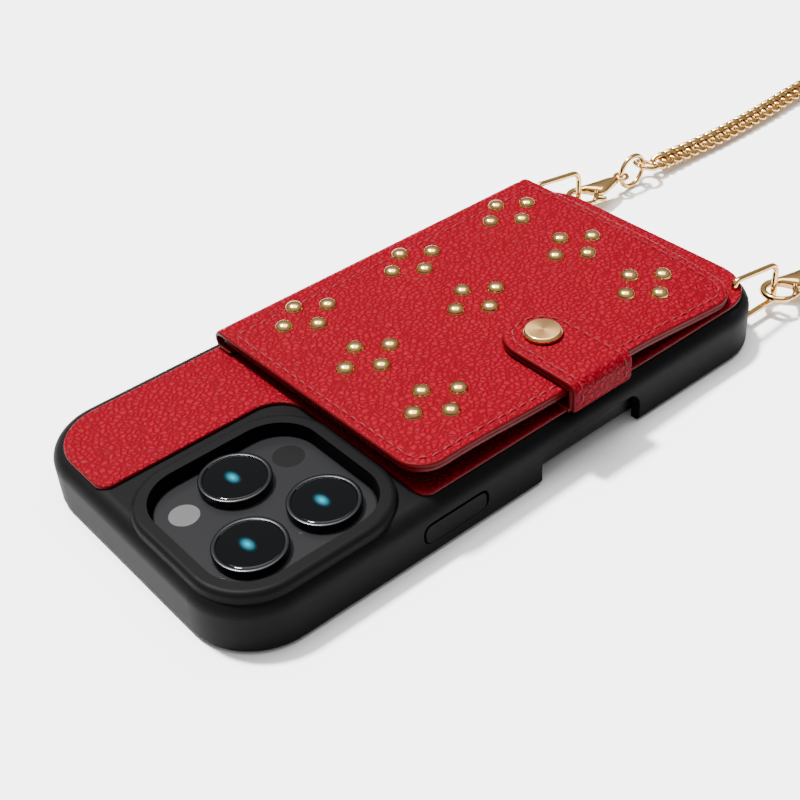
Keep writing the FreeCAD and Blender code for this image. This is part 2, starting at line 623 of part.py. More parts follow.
def build_tab():
    middle = Vector(value("tab_centre"), value("tab_y"), 0)
    leather = tab_layer("tab_leather", value("tab_leather"), 0)
    lining = tab_layer("tab_lining", value("tab_thick"), value("tab_leather"))
    shank = Part.makeCylinder(value("shank_radius"), value("tab_top") + 1, middle)
    socket_hole = Part.makeCylinder(value("socket_radius"), value("tab_leather_z"), middle)
    pieces = [shape_feature("tab_leather", leather.cut(shank)),
              shape_feature("tab_lining", lining.cut(socket_hole))]
    cap = disc("snap_cap", ("tab_centre", "tab_y", "tab_leather_z"), "shank_radius", "tab_leather")
    head = new_sketch(cap, "snap_head", ("tab_centre", "tab_y", "tab_top"))
    circle(head, "cap_radius")
    extrude(cap, "Pad", head, "cap_height")
    round_edges(cap, "snap_bevel", "cap_bevel", edge_at_height("tab_top + cap_height"), "Chamfer")
    pieces.append(cap)
    pieces.append(disc("snap_socket", ("tab_centre", "tab_y", "tab_under"), "socket_radius",
                       "tab_lining", "socket_bore"))
    return pieces


def build_post():
    post = disc("snap_post", ("tab_centre", "tab_y", "flap_top"), "post_foot", "post_foot_thick")
    stem = new_sketch(post, "snap_stem", ("tab_centre", "tab_y", "flap_top + post_foot_thick"))
    circle(stem, "post_radius")
    extrude(post, "Pad", stem, "post_height - post_foot_thick")
    return post


# ---------------------------------------------------------------- bails, clasps and rings

def build_bail(side, sign):
    """Wire from the hole in the back, out over the end, down, and back into the corner wall."""
    hole, out = value("bail_hole_y"), value("bail_out")
    high = value("panel_top + bail_rise")
    low = value("bail_low")
    bottom = value("shell_top - back_wall + hole_floor + root_gap")
    points = [Vector(0, hole, bottom), Vector(0, hole, high), Vector(0, out, high - value("bail_fall")),
              Vector(0, out, low), Vector(0, value("bail_wall - bail_stub"), low)]
    radii = [value("bail_knee"), value("bail_shoulder"), value("bail_heel")]
    wire, _, _ = round_tube(points, value("bail_wire"), radii)
    return shape_feature(side + "_bail", wire, Placement(Vector(sign * value("bail_x"), 0, 0),
                                                         Rotation()))


def ring_sector(inner, outer, first, last, thickness):
    """A flat piece of a ring about the origin, between two angles in degrees."""
    tube = Part.makeCylinder(outer, thickness, Vector(0, 0, -thickness / 2), Vector(0, 0, 1),
                             last - first)
    tube = tube.cut(Part.makeCylinder(inner, thickness, Vector(0, 0, -thickness / 2)))
    return tube.rotated(Vector(), Vector(0, 0, 1), first)


def build_clasp(side, x):
    """Lobster clasp: hook and body, a sprung lever on a pin, and an eye for the ring.

    Modelled about the middle of its hook with the tail towards +Y, then set down in place.
    """
    hook, wire = value("hook_radius"), value("hook_wire")
    length, thick = value("clasp_length"), value("clasp_thick")
    waist, tail = value("clasp_waist"), value("clasp_tail")
    place = Placement(Vector(x, value("clasp_y"), value("clasp_lift")), Rotation())
    bow = Part.makeTorus(hook, wire / 2, Vector(), Vector(0, 0, 1), 0, 360, 222)
    bow = bow.rotated(Vector(), Vector(0, 0, 1), 125)
    outline = [Vector(-waist, hook / 2, -thick / 2), Vector(-waist, hook * 1.3, -thick / 2),
               Vector(-tail, length, -thick / 2), Vector(tail, length, -thick / 2),
               Vector(waist, hook * 1.3, -thick / 2), Vector(waist + 0.3, hook / 2, -thick / 2)]
    body = Part.Face(Part.makePolygon(outline + outline[:1])).extrude(Vector(0, 0, thick))
    inside = Part.makeCylinder(hook - wire / 2, thick, Vector(0, 0, -thick / 2))
    slot_height = value("lever_thick + 2 * lever_gap")
    slot = Part.makeBox(2 * waist, value("slot_depth"), slot_height,
                        Vector(0.2, 0, -slot_height / 2))
    neck = Part.makeCylinder(value("neck_radius"), value("neck_length") + 0.3,
                             Vector(0, length - 0.1, 0), Vector(0, 1, 0))
    eye_y = value("eye_y - clasp_y")
    eye = Part.makeTorus(value("eye_radius"), value("eye_wire") / 2, Vector(0, eye_y, 0))
    pin_angle = math.radians(value("pin_angle"))
    pin_spot = Vector(math.cos(pin_angle), math.sin(pin_angle), 0) * value("pin_out")
    pin_foot = pin_spot - Vector(0, 0, thick / 2)
    pin = Part.makeCylinder(value("pin_radius"), thick, pin_foot)
    frame = body.cut(inside).fuse([bow, neck, eye]).cut(slot).cut(pin).removeSplitter()
    thickness = value("lever_thick")
    lever = ring_sector(hook - 0.75, hook + 0.75, 5, 56, thickness)
    hub = Part.makeCylinder(value("hub_radius"), thickness, pin_spot - Vector(0, 0, thickness / 2))
    thumb = ring_sector(hook + 0.3, hook + 1.7, 30, 46, thickness)
    bore = Part.makeCylinder(value("pin_radius + pin_play"), thick, pin_foot)
    lever = lever.fuse([hub, thumb]).cut(bore).removeSplitter()
    coil = Part.makeHelix(2 * value("spring_wire"), value("spring_length"), value("spring_radius"))
    section = Part.Wire(Part.Circle(Vector(value("spring_radius"), 0, 0), Vector(0, 1, 0),
                                    value("spring_wire") / 2).toShape())
    spring = Part.Wire(coil).makePipeShell([section], True, True)
    spring.rotate(Vector(), Vector(0, 1, 0), 90)
    spring.translate(Vector(0.5, value("slot_depth") - 2 * value("spring_radius"), 0))
    return [shape_feature(side + "_clasp_" + name, shape, place)
            for name, shape in (("body", frame), ("lever", lever), ("pin", pin), ("spring", spring))]


def build_rings(side, x):
    ring = doc.addObject("Part::Torus", side + "_jump_ring")
    link = doc.addObject("Part::Torus", side + "_end_link")
    for torus, radius, wire in ((ring, "ring_radius", "ring_wire"), (link, "link_radius", "link_wire")):
        torus.Label = torus.Name
        torus.setExpression("Radius1", bind(radius))
        torus.setExpression("Radius2", bind(wire + " / 2"))
    height = value("clasp_lift")
    ring_height = value("ring_radius + ring_wire / 2")
    ring.Placement = Placement(Vector(x, value("ring_y"), max(height, ring_height)),
                               Rotation(Vector(0, 1, 0), 90))
    link.Placement = Placement(Vector(x, value("link_y"), height - 0.3),
                               Rotation(Vector(1, 0, 0), -value("link_drop")))
    return [ring, link]


# ---------------------------------------------------------------- free chain

FAR_ROUTE = [(-31.8, 114.6, 3.3), (-31.3, 126.0, 2.62), (-30.4, 141.0, 2.62), (-30.9, 160.0, 2.62),
             (-32.6, 180.0, 2.62), (-31.6, 196.0, 2.62), (-22.5, 207.5, 2.62), (-8.0, 211.8, 2.62),
             (9.0, 210.8, 2.62), (26.6, 209.6, 2.9)]
NEAR_ROUTE = [(32.4, 114.6, 3.3), (32.8, 123.5, 2.62), (36.8, 131.8, 3.6), (43.2, 137.2, 6.0),
              (49.6, 140.9, 8.0)]


def build_chain():
    """The loose lengths as round tubes along the chosen points, and the coil as one ring."""
    pieces = []
    for name, route in (("chain_far_run", FAR_ROUTE), ("chain_near_run", NEAR_ROUTE)):
        tube, length, radii = round_tube([Vector(*spot) for spot in route], value("chain_width"))
        print("%s: length %.1f mm, smallest bend %.1f mm" % (name, length, min(radii)))
        pieces.append(shape_feature(name, tube))
    coil_floor = "coil_lift"
    pieces.append(disc("chain_coil", ("coil_x", "coil_y", coil_floor),
                       "coil_outer + chain_width / 2", "2 * chain_width",
                       "coil_inner - chain_width / 2"))
    wide = value("coil_outer - coil_inner + chain_width + 2 * tie_play")
    tall = value("2 * chain_width + tie_play")
    thick, length = value("tie_thick"), value("tie_width")
    inner = Part.makeBox(wide, length, tall)
    outer = Part.makeBox(wide + 2 * thick, length, tall + 2 * thick, Vector(-thick, 0, -thick))
    spot = Vector(value("coil_x + (coil_outer + coil_inner) / 2") - wide / 2,
                  value("coil_y") - length / 2, value(coil_floor) - 0.05)
    pieces.append(shape_feature("coil_tie", outer.cut(inner), Placement(spot, Rotation())))
    return pieces


# ---------------------------------------------------------------- assembly and output

subparts = [build_shell()]
subparts += [build_cover(name, *facts) for name, facts in WINDOWS.items()]
subparts += build_phone()
subparts += build_back()
subparts += build_flap()
subparts += [build_spine(), build_studs(), build_post()]
subparts += build_tab()
for side, sign in SIDES.items():
    subparts.append(build_bail(side, sign))
    clasp_x = sign * value("bail_x") + (value("near_shift") if side == "near" else 0)
    subparts += build_clasp(side, clasp_x)
    subparts += build_rings(side, clasp_x)
subparts += build_chain()
doc.recompute()

for feature in doc.Objects:
    if "Invalid" in feature.State or "Error" in feature.State:
        raise RuntimeError(feature.Name + " failed to build: %s" % feature.State)
for piece in subparts:
    if piece.Shape.isNull() or not piece.Shape.isValid() or piece.Shape.Volume <= 0:
        raise RuntimeError(piece.Label + " has no valid shape")

os.makedirs("parts", exist_ok=True)
for piece in subparts:
    piece.Shape.exportStep("parts/" + piece.Label + ".step")
print("%d sub-parts written" % len(subparts))
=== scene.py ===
import math

import bmesh
import bpy
import numpy as np
from mathutils import Matrix, Vector


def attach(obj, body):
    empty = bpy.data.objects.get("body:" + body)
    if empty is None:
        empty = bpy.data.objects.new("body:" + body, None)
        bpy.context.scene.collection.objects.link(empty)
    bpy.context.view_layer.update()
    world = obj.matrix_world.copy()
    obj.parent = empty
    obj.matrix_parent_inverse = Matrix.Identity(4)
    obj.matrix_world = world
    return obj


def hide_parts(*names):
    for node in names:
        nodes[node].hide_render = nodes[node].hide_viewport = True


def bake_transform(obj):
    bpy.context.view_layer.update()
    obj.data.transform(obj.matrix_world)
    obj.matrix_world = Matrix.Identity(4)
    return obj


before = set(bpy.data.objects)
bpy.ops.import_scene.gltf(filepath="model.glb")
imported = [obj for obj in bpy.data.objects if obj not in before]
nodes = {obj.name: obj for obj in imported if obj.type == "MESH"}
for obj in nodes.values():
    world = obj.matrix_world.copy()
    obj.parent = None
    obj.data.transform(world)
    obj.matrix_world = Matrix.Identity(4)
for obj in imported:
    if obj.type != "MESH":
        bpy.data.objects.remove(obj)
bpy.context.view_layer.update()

MM = 0.001

# ---------------------------------------------------------------- sizes, in millimetres

HINGE_X, HINGE_Z = -31.7, 15.9          # middle of the flap's spine
FLAP_NEAR, FLAP_START, FLAP_END = 35.6, -29.65, 65.15
FLAP_TOP, LEATHER, LINING = 18.4, 1.1, 1.0
SPINE_INNER = 1.4
SHELL_TOP, PANEL_TOP = 12.5, 13.4
PLATEAU_X, PLATEAU_Y = 14.85, -51.8
TAB_X, TAB_Y, TAB_WIDTH, TAB_TOP, TAB_FOLD = 21.1, 17.6, 17.0, 20.75, 38.9
STUD_X, STUD_Y = -1.2, 18.9             # middle of the middle group of studs
STUD_PITCH_X, STUD_PITCH_Y = 21.9, 31.1
STUD_HALF_X, STUD_HALF_Y = 4.5, 6.1
STUD_RADIUS, STUD_RISE = 2.1, 1.45
POCKET_FAR, POCKET_START, POCKET_END = -27.5, -26.25, 61.75
POCKET_CORNER, POCKET_STACK = 4.0, 2.9
BAIL_X, NEAR_SHIFT = 31.8, 0.6
CLASP_Y, CLASP_Z = 85.1, 4.9
CHAIN_WIDTH, CHAIN_PITCH, CHAIN_WIRE = 5.2, 3.3, 1.7


def smooth(value, low, high):
    """0 below low, 1 above high, and an even S curve between."""
    t = np.clip((value - low) / (high - low), 0.0, 1.0)
    return t * t * (3 - 2 * t)


# ---------------------------------------------------------------- materials

def new_material(name, colour, roughness=0.5, metallic=0.0, **extra):
    """A Principled material; extra values are the shader's own socket names with underscores."""
    material = bpy.data.materials.new(name)
    material.use_nodes = True
    shader = material.node_tree.nodes["Principled BSDF"]
    shader.inputs["Base Color"].default_value = (*colour, 1.0)
    shader.inputs["Roughness"].default_value = roughness
    shader.inputs["Metallic"].default_value = metallic
    for socket, value in extra.items():
        shader.inputs[socket.replace("_", " ")].default_value = value
    return material


def add_node(material, kind, inputs=None, **settings):
    node = material.node_tree.nodes.new(kind)
    for key, value in settings.items():
        setattr(node, key, value)
    for key, value in (inputs or {}).items():
        if isinstance(value, bpy.types.NodeSocket):
            material.node_tree.links.new(value, node.inputs[key])
        else:
            node.inputs[key].default_value = value
    return node


def shader_of(material):
    return material.node_tree.nodes["Principled BSDF"]


def join(material, output, socket):
    material.node_tree.links.new(output, shader_of(material).inputs[socket])


def bumped(material, height, distance, strength=1.0):
    bump = add_node(material, "ShaderNodeBump", {"Strength": strength, "Distance": distance,
                                                 "Height": height})
    join(material, bump.outputs["Normal"], "Normal")


def object_position(material):
    return add_node(material, "ShaderNodeTexCoord").outputs["Object"]


def ramp(material, value, stops):
    node = add_node(material, "ShaderNodeValToRGB", {"Fac": value})
    node.color_ramp.elements[0].position = stops[0][0]
    node.color_ramp.elements[0].color = (*stops[0][1], 1.0)
    node.color_ramp.elements[1].position = stops[-1][0]
    node.color_ramp.elements[1].color = (*stops[-1][1], 1.0)
    for position, colour in stops[1:-1]:
        node.color_ramp.elements.new(position).color = (*colour, 1.0)
    return node.outputs["Color"]


def pebbled_leather(name, crease_shade, crest, roughness):
    """Leather embossed with rounded pebbles over a millimetre across, with painted shade darkening the
    creases between them.
    """
    material = new_material(name, crest, roughness, Specular_IOR_Level=0.02)
    position = object_position(material)
    wander = add_node(material, "ShaderNodeTexNoise", {"Vector": position, "Scale": 500.0,
                                                      "Detail": 2.0})
    shifted = add_node(material, "ShaderNodeMixRGB", {"Fac": 0.0006, "Color1": position,
                                                     "Color2": wander.outputs["Color"]},
                       blend_type="ADD")
    cells = add_node(material, "ShaderNodeTexVoronoi", {"Vector": shifted.outputs["Color"],
                                                        "Scale": 780.0},
                     feature="DISTANCE_TO_EDGE")
    pebble = add_node(material, "ShaderNodeMapRange", {"Value": cells.outputs["Distance"],
                                                       "From Min": 0.0, "From Max": 0.34},
                      interpolation_type="SMOOTHSTEP")
    fine = add_node(material, "ShaderNodeTexNoise", {"Vector": position, "Scale": 3800.0,
                                                    "Detail": 3.0})
    height = add_node(material, "ShaderNodeMath", {0: fine.outputs["Fac"], 1: 0.3,
                                                  2: pebble.outputs["Result"]},
                      operation="MULTIPLY_ADD")
    # painted shade: the base colour darkens from the crests into the creases
    join(material, ramp(material, pebble.outputs["Result"], [(0.0, crease_shade), (0.75, crest)]),
         "Base Color")
    bumped(material, height.outputs["Value"], 0.00020, 1.0)
    return material


def soft_touch(name, colour, roughness):
    """Fine matte grain of moulded soft plastic."""
    material = new_material(name, colour, roughness, Specular_IOR_Level=0.03)
    grain = add_node(material, "ShaderNodeTexNoise", {"Vector": object_position(material),
                                                     "Scale": 2600.0, "Detail": 2.0})
    bumped(material, grain.outputs["Fac"], 0.00003, 0.5)
    return material


def polished(name, colour, roughness):
    """Plated metal with faint unevenness in its shine."""
    material = new_material(name, colour, roughness, 1.0)
    cloud = add_node(material, "ShaderNodeTexNoise", {"Vector": object_position(material),
                                                     "Scale": 350.0, "Detail": 3.0})
    shine = add_node(material, "ShaderNodeMapRange", {"Value": cloud.outputs["Fac"],
                                                      "To Min": roughness * 0.7,
                                                      "To Max": roughness * 1.4})
    join(material, shine.outputs["Result"], "Roughness")
    return material


def brushed(name, colour, roughness):
    """Fine parallel brushing along one direction."""
    material = new_material(name, colour, roughness, 1.0, Anisotropic=0.4)
    stretch = add_node(material, "ShaderNodeMapping", {"Vector": object_position(material),
                                                      "Scale": (600.0, 14000.0, 600.0)})
    lines = add_node(material, "ShaderNodeTexNoise", {"Vector": stretch.outputs["Vector"],
                                                     "Scale": 1.0, "Detail": 2.0})
    bumped(material, lines.outputs["Fac"], 0.000012, 0.6)
    return material


# the crease colour is painted shade; the crest colour is the leather's own red
RED_CREASE_SHADE, RED_CREST = (0.072, 0.0004, 0.0028), (0.122, 0.0010, 0.0062)
leather = pebbled_leather("red_pebbled_leather", RED_CREASE_SHADE, RED_CREST, 0.42)
edge_paint = new_material("red_edge_paint", (0.055, 0.0012, 0.0024), 0.35, Specular_IOR_Level=0.05)
thread = new_material("red_thread", (0.10, 0.003, 0.005), 0.6, Specular_IOR_Level=0.2)
lining_red = soft_touch("red_lining", (0.075, 0.002, 0.0035), 0.55)
shell_black = soft_touch("soft_touch_black", (0.0026, 0.0026, 0.0028), 0.5)
suede_black = new_material("black_microfibre", (0.003, 0.003, 0.0033), 0.95, Specular_IOR_Level=0.02)
gloss_black = new_material("gloss_black_glass", (0.0008, 0.0008, 0.001), 0.05, Specular_IOR_Level=0.35)
plateau_glass = new_material("plateau_glass", (0.0055, 0.0055, 0.006), 0.25,
                             Specular_IOR_Level=0.2)
screen_black = new_material("screen_glass", (0.0008, 0.0008, 0.001), 0.03)
metal_dark = new_material("dark_satin_metal", (0.012, 0.012, 0.013), 0.35, 1.0)
metal_rim = new_material("lens_rim_line", (0.02, 0.021, 0.022), 0.3, 1.0)
gold = polished("pale_gold", (0.58, 0.35, 0.13), 0.14)
gold_brushed = brushed("brushed_champagne_gold", (0.50, 0.285, 0.115), 0.34)
steel = new_material("spring_steel", (0.3, 0.3, 0.3), 0.3, 1.0)
lamp_pale = new_material("lamp_diffuser", (0.030, 0.028, 0.028), 0.35)
sensor_dark = new_material("sensor_window", (0.0012, 0.0012, 0.0014), 0.3, Specular_IOR_Level=0.15)
tie_red = new_material("red_tie_band", (0.06, 0.0015, 0.0025), 0.8)


def lens_with_painted_reflection():
    """Dark coated optics with a painted reflection: a small blue-green glint beside the middle, placed
    by position.
    """
    material = new_material("lens_painted_reflection", (0.0008, 0.001, 0.0012), 0.04, Specular_IOR_Level=0.12)
    glint = add_node(material, "ShaderNodeMapping",
                     {"Vector": object_position(material), "Location": (0.05, 0.3, 0.0),
                      "Scale": (400.0, 640.0, 0.0)})
    reach = add_node(material, "ShaderNodeVectorMath", {0: glint.outputs["Vector"]},
                     operation="LENGTH")
    # painted reflection: teal near the offset middle, fading to black outwards
    colour = ramp(material, reach.outputs["Value"],
                  [(0.0, (0.012, 0.16, 0.19)), (0.4, (0.004, 0.06, 0.08)), (0.8, (0.001, 0.006, 0.010)),
                   (1.0, (0.0008, 0.001, 0.0012))])
    join(material, colour, "Base Color")
    return material


lens_glass = lens_with_painted_reflection()


# ---------------------------------------------------------------- mesh helpers

def make_mesh(name, points, faces, materials, indices=None, sharp=40.0):
    """A smooth-shaded mesh in metres from points in millimetres."""
    mesh = bpy.data.meshes.new(name)
    mesh.from_pydata((np.asarray(points, float) * MM).tolist(), [], faces)
    for material in materials:
        mesh.materials.append(material)
    if indices is not None:
        mesh.polygons.foreach_set("material_index", indices)
    mesh.polygons.foreach_set("use_smooth", [True] * len(mesh.polygons))
    mesh.validate()
    mesh.set_sharp_from_angle(angle=math.radians(sharp))
    obj = bpy.data.objects.new(name, mesh)
    bpy.context.scene.collection.objects.link(obj)
    return obj


def outline(corners, inset, arc_points=10, step=2.0):
    """Points round a polygon with rounded corners (x, y, radius), moved inwards by inset."""
    count = len(corners)
    spots = np.array([corner[:2] for corner in corners], float)
    ways = np.roll(spots, -1, 0) - spots
    lengths = np.linalg.norm(ways, axis=1)
    ways /= lengths[:, None]
    arcs = []
    for i in range(count):
        before, after = ways[i - 1], ways[i]
        turn = before[0] * after[1] - before[1] * after[0]
        left = [np.array([-way[1], way[0]]) for way in (before, after)]
        spot = spots[i] + inset * (left[0] + left[1])
        radius = max(corners[i][2] - math.copysign(inset, turn), 0.01)
        start = spot - before * radius
        centre = start + math.copysign(radius, turn) * left[0]
        first = start - centre
        angles = np.linspace(0, math.copysign(math.pi / 2, turn), arc_points)
        arcs.append([centre + np.array([first[0] * math.cos(a) - first[1] * math.sin(a),
                                        first[0] * math.sin(a) + first[1] * math.cos(a)])
                     for a in angles])
    points = []
    for i in range(count):
        points += arcs[i]
        here, there = arcs[i][-1], arcs[(i + 1) % count][0]
        pieces = max(1, int(lengths[i] / step))
        points += [here + (there - here) * k / pieces for k in range(1, pieces)]
    return np.array(points)


def sheet(name, corners, rows, materials, cuts=(), bend=None, step=2.0):
    """A closed sheet: rings of (inset, z, material) from its underside to its top.

    cuts are (axis, position) planes that add the vertices a bend needs.
    """
    plans = [outline(corners, inset, step=step) for inset, _, _ in rows]
    rings = [np.column_stack([plan, np.full(len(plan), row[1])]) for plan, row in zip(plans, rows)]
    around = len(rings[0])
    faces = [list(range(around))[::-1]]
    indices = [rows[0][2]]
    for ring in range(len(rings) - 1):
        for i in range(around):
            j = (i + 1) % around
            low, high = ring * around, (ring + 1) * around
            faces.append([low + i, low + j, high + j, high + i])
            indices.append(rows[ring + 1][2])
    faces.append([(len(rings) - 1) * around + i for i in range(around)])
    indices.append(rows[-1][2])
    mesh_points = np.vstack(rings)
    work = bmesh.new()
    verts = [work.verts.new(point) for point in mesh_points]
    for face, index in zip(faces, indices):
        made = work.faces.new([verts[i] for i in face])
        made.material_index = index
    for axis, position in cuts:
        normal = Vector((1, 0, 0)) if axis == "x" else Vector((0, 1, 0))
        everything = work.verts[:] + work.edges[:] + work.faces[:]
        bmesh.ops.bisect_plane(work, geom=everything, dist=1e-4, plane_co=normal * position,
                               plane_no=normal)
    work.verts.index_update()
    points = np.array([vert.co[:] for vert in work.verts])
    faces = [[vert.index for vert in face.verts] for face in work.faces]
    indices = [face.material_index for face in work.faces]
    work.free()
    if bend:
        points = bend(points)
    return make_mesh(name, points, faces, materials, indices)


def layer_rows(bottom, top, under, edge, face, groove=True):
    """A leather layer's section: painted edge, rounded shoulder and a sewn groove."""
    rows = [(3.0, bottom, under), (0.3, bottom, under), (0.08, bottom + 0.08, edge),
            (0.0, bottom + 0.25, edge), (0.0, top - 0.4, edge), (0.1, top - 0.2, edge),
            (0.3, top - 0.07, edge), (0.6, top, face), (1.3, top + 0.02, face)]
    if groove:
        rows += [(1.75, top - 0.02, face), (2.1, top - 0.14, face), (2.45, top - 0.02, face)]
    return rows + [(3.2, top + 0.02, face)]


def tube(path, radii, sides=12, closed=False):
    """Points and faces of a round tube along path; radii is one value or one for each point."""
    path = np.asarray(path, float)
    count = len(path)
    radii = np.broadcast_to(radii, (count,))
    if closed:
        ways = np.roll(path, -1, 0) - np.roll(path, 1, 0)
    else:
        ways = np.gradient(path, axis=0)
    ways /= np.linalg.norm(ways, axis=1)[:, None]
    side = np.cross(ways[0], (0.0, 0.0, 1.0) if abs(ways[0][2]) < 0.9 else (0.0, 1.0, 0.0))
    points = []
    for spot, way, radius in zip(path, ways, radii):
        side = side - way * side.dot(way)
        side /= np.linalg.norm(side)
        other = np.cross(way, side)
        for k in range(sides):
            a = 2 * math.pi * k / sides
            points.append(spot + radius * (math.cos(a) * side + math.sin(a) * other))
    faces = []
    for i in range(count if closed else count - 1):
        for k in range(sides):
            n, m = (k + 1) % sides, (i + 1) % count
            faces.append([i * sides + k, i * sides + n, m * sides + n, m * sides + k])
    if not closed:
        faces.append(list(range(sides))[::-1])
        faces.append([(count - 1) * sides + k for k in range(sides)])
    return points, faces


def merge(parts):
    """One list of points and faces from several."""
    points, faces = [], []
    for some, more in parts:
        shift = len(points)
        points += [tuple(spot) for spot in some]
        faces += [[shift + i for i in face] for face in more]
    return points, faces


def lathe(centre, profile, turns=64):
    """Points, faces and profile rows of (radius, z) spun about a vertical line."""
    points, faces, rows = [], [], []
    for radius, z in profile:
        for k in range(turns):
            a = 2 * math.pi * k / turns
            points.append((centre[0] + radius * math.cos(a), centre[1] + radius * math.sin(a), z))
    for row in range(len(profile) - 1):
        for k in range(turns):
            n = (k + 1) % turns
            low, high = row * turns, (row + 1) * turns
            faces.append([low + k, low + n, high + n, high + k])
            rows.append(row)
    faces.append([k for k in range(turns)][::-1])
    faces.append([(len(profile) - 1) * turns + k for k in range(turns)])
    return points, faces, rows + [0, len(profile) - 2]


def dress(name, material, sharp=30.0):
    """Show a CAD piece as it is, smoothed and in its finish."""
    mesh = nodes[name].data
    mesh.materials.clear()
    mesh.materials.append(material)
    mesh.polygons.foreach_set("material_index", [0] * len(mesh.polygons))
    mesh.polygons.foreach_set("use_smooth", [True] * len(mesh.polygons))
    mesh.set_sharp_from_angle(angle=math.radians(sharp))
    return nodes[name]


# ---------------------------------------------------------------- moulded shell and phone

for name in ("case_shell", "power_cover", "volume_up_cover", "volume_down_cover"):
    dress(name, shell_black)
dress("case_lining", suede_black)
for name in ("phone_frame", "power_key", "volume_up_key", "volume_down_key", "touch_control"):
    dress(name, metal_dark)
dress("phone_back_glass", gloss_black)
dress("camera_plateau", plateau_glass)
dress("phone_screen", screen_black)
dress("lamp_window", lamp_pale)
dress("depth_sensor", sensor_dark)

LENSES = {"top": (7.85, -8.75), "bottom": (7.85, 8.75), "middle": (-9.8, 0.0)}
RING = [(7.15, 11.2), (7.5, 11.25), (7.5, 12.95), (7.42, 13.08), (7.28, 13.16), (6.9, 13.2),
        (6.62, 13.12), (6.55, 12.9), (6.45, 12.86), (5.9, 12.62), (5.8, 12.6)]
RIM_ROWS = range(3, 6)
for name, (x, y) in LENSES.items():
    centre = (PLATEAU_X + x, PLATEAU_Y + y)
    points, faces, rows = lathe(centre, RING, 96)
    barrel = make_mesh("lens_%s_barrel" % name, points, faces, [gloss_black, metal_rim],
                       [1 if row in RIM_ROWS else 0 for row in rows])
    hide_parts("lens_%s_ring" % name)
    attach(barrel, "phone")
    dome = [(6.5, 12.9)] + [(6.5 * math.cos(a), 12.9 + 0.28 * math.sin(a))
                            for a in np.linspace(0.1, 1.5, 10)]
    points, faces, _ = lathe((0, 0), dome, 96)
    glass = make_mesh("lens_%s_cover" % name, points, faces, [lens_glass])
    glass.location = Vector((*centre, 0)) * MM
    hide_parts("lens_%s_glass" % name)
    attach(glass, "phone")


# ---------------------------------------------------------------- leather back and pockets

def flap_drop(x, y):
    """How far the flap's leather lies above (+) or below (-) flat at a point of its plan."""
    across = np.clip((x - HINGE_X) / (FLAP_NEAR - HINGE_X), 0.0, 1.0)
    along = (y - FLAP_START) / (FLAP_END - FLAP_START)
    lift = 1.15 * across ** 2 * (1 - smooth(along, 0.12, 0.40))
    droop = -2.8 * across ** 4 * smooth(along, 0.58, 1.0)
    return lift + droop


def press_pockets(points):
    """The pockets flatten where the flap droops."""
    scale = 1 + np.minimum(flap_drop(points[:, 0], points[:, 1]), 0) / POCKET_STACK
    points[:, 2] = PANEL_TOP + (points[:, 2] - PANEL_TOP) * scale
    return points


PANEL = [(-34.0, -73.55, 12.0), (-9.8, -73.55, 3.0), (-9.8, -28.95, 7.5), (35.9, -28.95, 3.0),
         (35.9, 73.55, 12.0), (-34.0, 73.55, 12.0)]
panel_rows = [(3.0, SHELL_TOP, 0), (0.2, SHELL_TOP, 1), (0.0, SHELL_TOP + 0.15, 1),
              (0.0, PANEL_TOP - 0.35, 1), (0.12, PANEL_TOP - 0.14, 1), (0.4, PANEL_TOP - 0.02, 0),
              (1.2, PANEL_TOP, 0)]
panel = sheet("back_leather", PANEL, panel_rows, [leather, edge_paint], step=1.5)
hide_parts("back_panel")
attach(panel, "case")

cuts = [("x", x) for x in np.arange(-24, 30, 3)] + [("y", y) for y in np.arange(-24, 62, 4)]
for name, near, floor in (("pocket_rear", 30.5, PANEL_TOP), ("pocket_front", 26.5, PANEL_TOP + 1.05)):
    corners = [(x, y, POCKET_CORNER) for x, y in
               ((POCKET_FAR, POCKET_START), (near, POCKET_START),
                (near, POCKET_END), (POCKET_FAR, POCKET_END))]
    rows = [(1.0, floor + 0.02, 0), (0.0, floor + 0.04, 1), (0.0, floor + 0.9, 1),
            (0.2, floor + 1.02, 0), (1.0, floor + 1.03, 0)]
    pocket = sheet(name + "_leather", corners, rows, [leather, edge_paint], cuts, press_pockets)
    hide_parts(name)
    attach(pocket, "case")
dress("tab_root", lining_red)


# ---------------------------------------------------------------- flap with its spine

ARC = math.pi * (SPINE_INNER + LEATHER / 2)
FOOT = 3.2


def fold_flap(points):
    """Lay the flat pattern out: level top, a half turn round the spine, and a foot below."""
    x, y, z = points.T
    depth = z - (FLAP_TOP - LEATHER)
    radius = SPINE_INNER + depth
    past = HINGE_X - x
    angle = np.clip(past, 0, ARC) / (SPINE_INNER + LEATHER / 2)
    foot = np.clip(past - ARC, 0, None)
    bent_x = HINGE_X - radius * np.sin(angle) + foot
    bent_z = HINGE_Z + radius * np.cos(angle)
    level = x >= HINGE_X
    new_x = np.where(level, x, bent_x)
    new_z = np.where(level, z + flap_drop(x, y), bent_z)
    return np.column_stack([new_x, y, new_z])


def settle_flap(points):
    points[:, 2] += flap_drop(points[:, 0], points[:, 1])
    return points


pattern_start = HINGE_X - ARC - FOOT
cuts = [("x", x) for x in np.arange(pattern_start + 0.4, HINGE_X + 0.5, 0.35)]
cuts += [("x", x) for x in np.arange(-29, 34, 2.0)]
cuts += [("y", y) for y in np.arange(FLAP_START + 4, FLAP_END - 3, 2.5)]
COVER = [(pattern_start, FLAP_START, 0.5), (FLAP_NEAR, FLAP_START, 6.5),
         (FLAP_NEAR, FLAP_END, 6.5), (pattern_start, FLAP_END, 0.5)]
cover = sheet("flap_cover", COVER, layer_rows(FLAP_TOP - LEATHER, FLAP_TOP, 0, 1, 0),
              [leather, edge_paint], cuts, fold_flap, step=1.0)
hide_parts("flap_leather", "flap_spine")
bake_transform(cover)

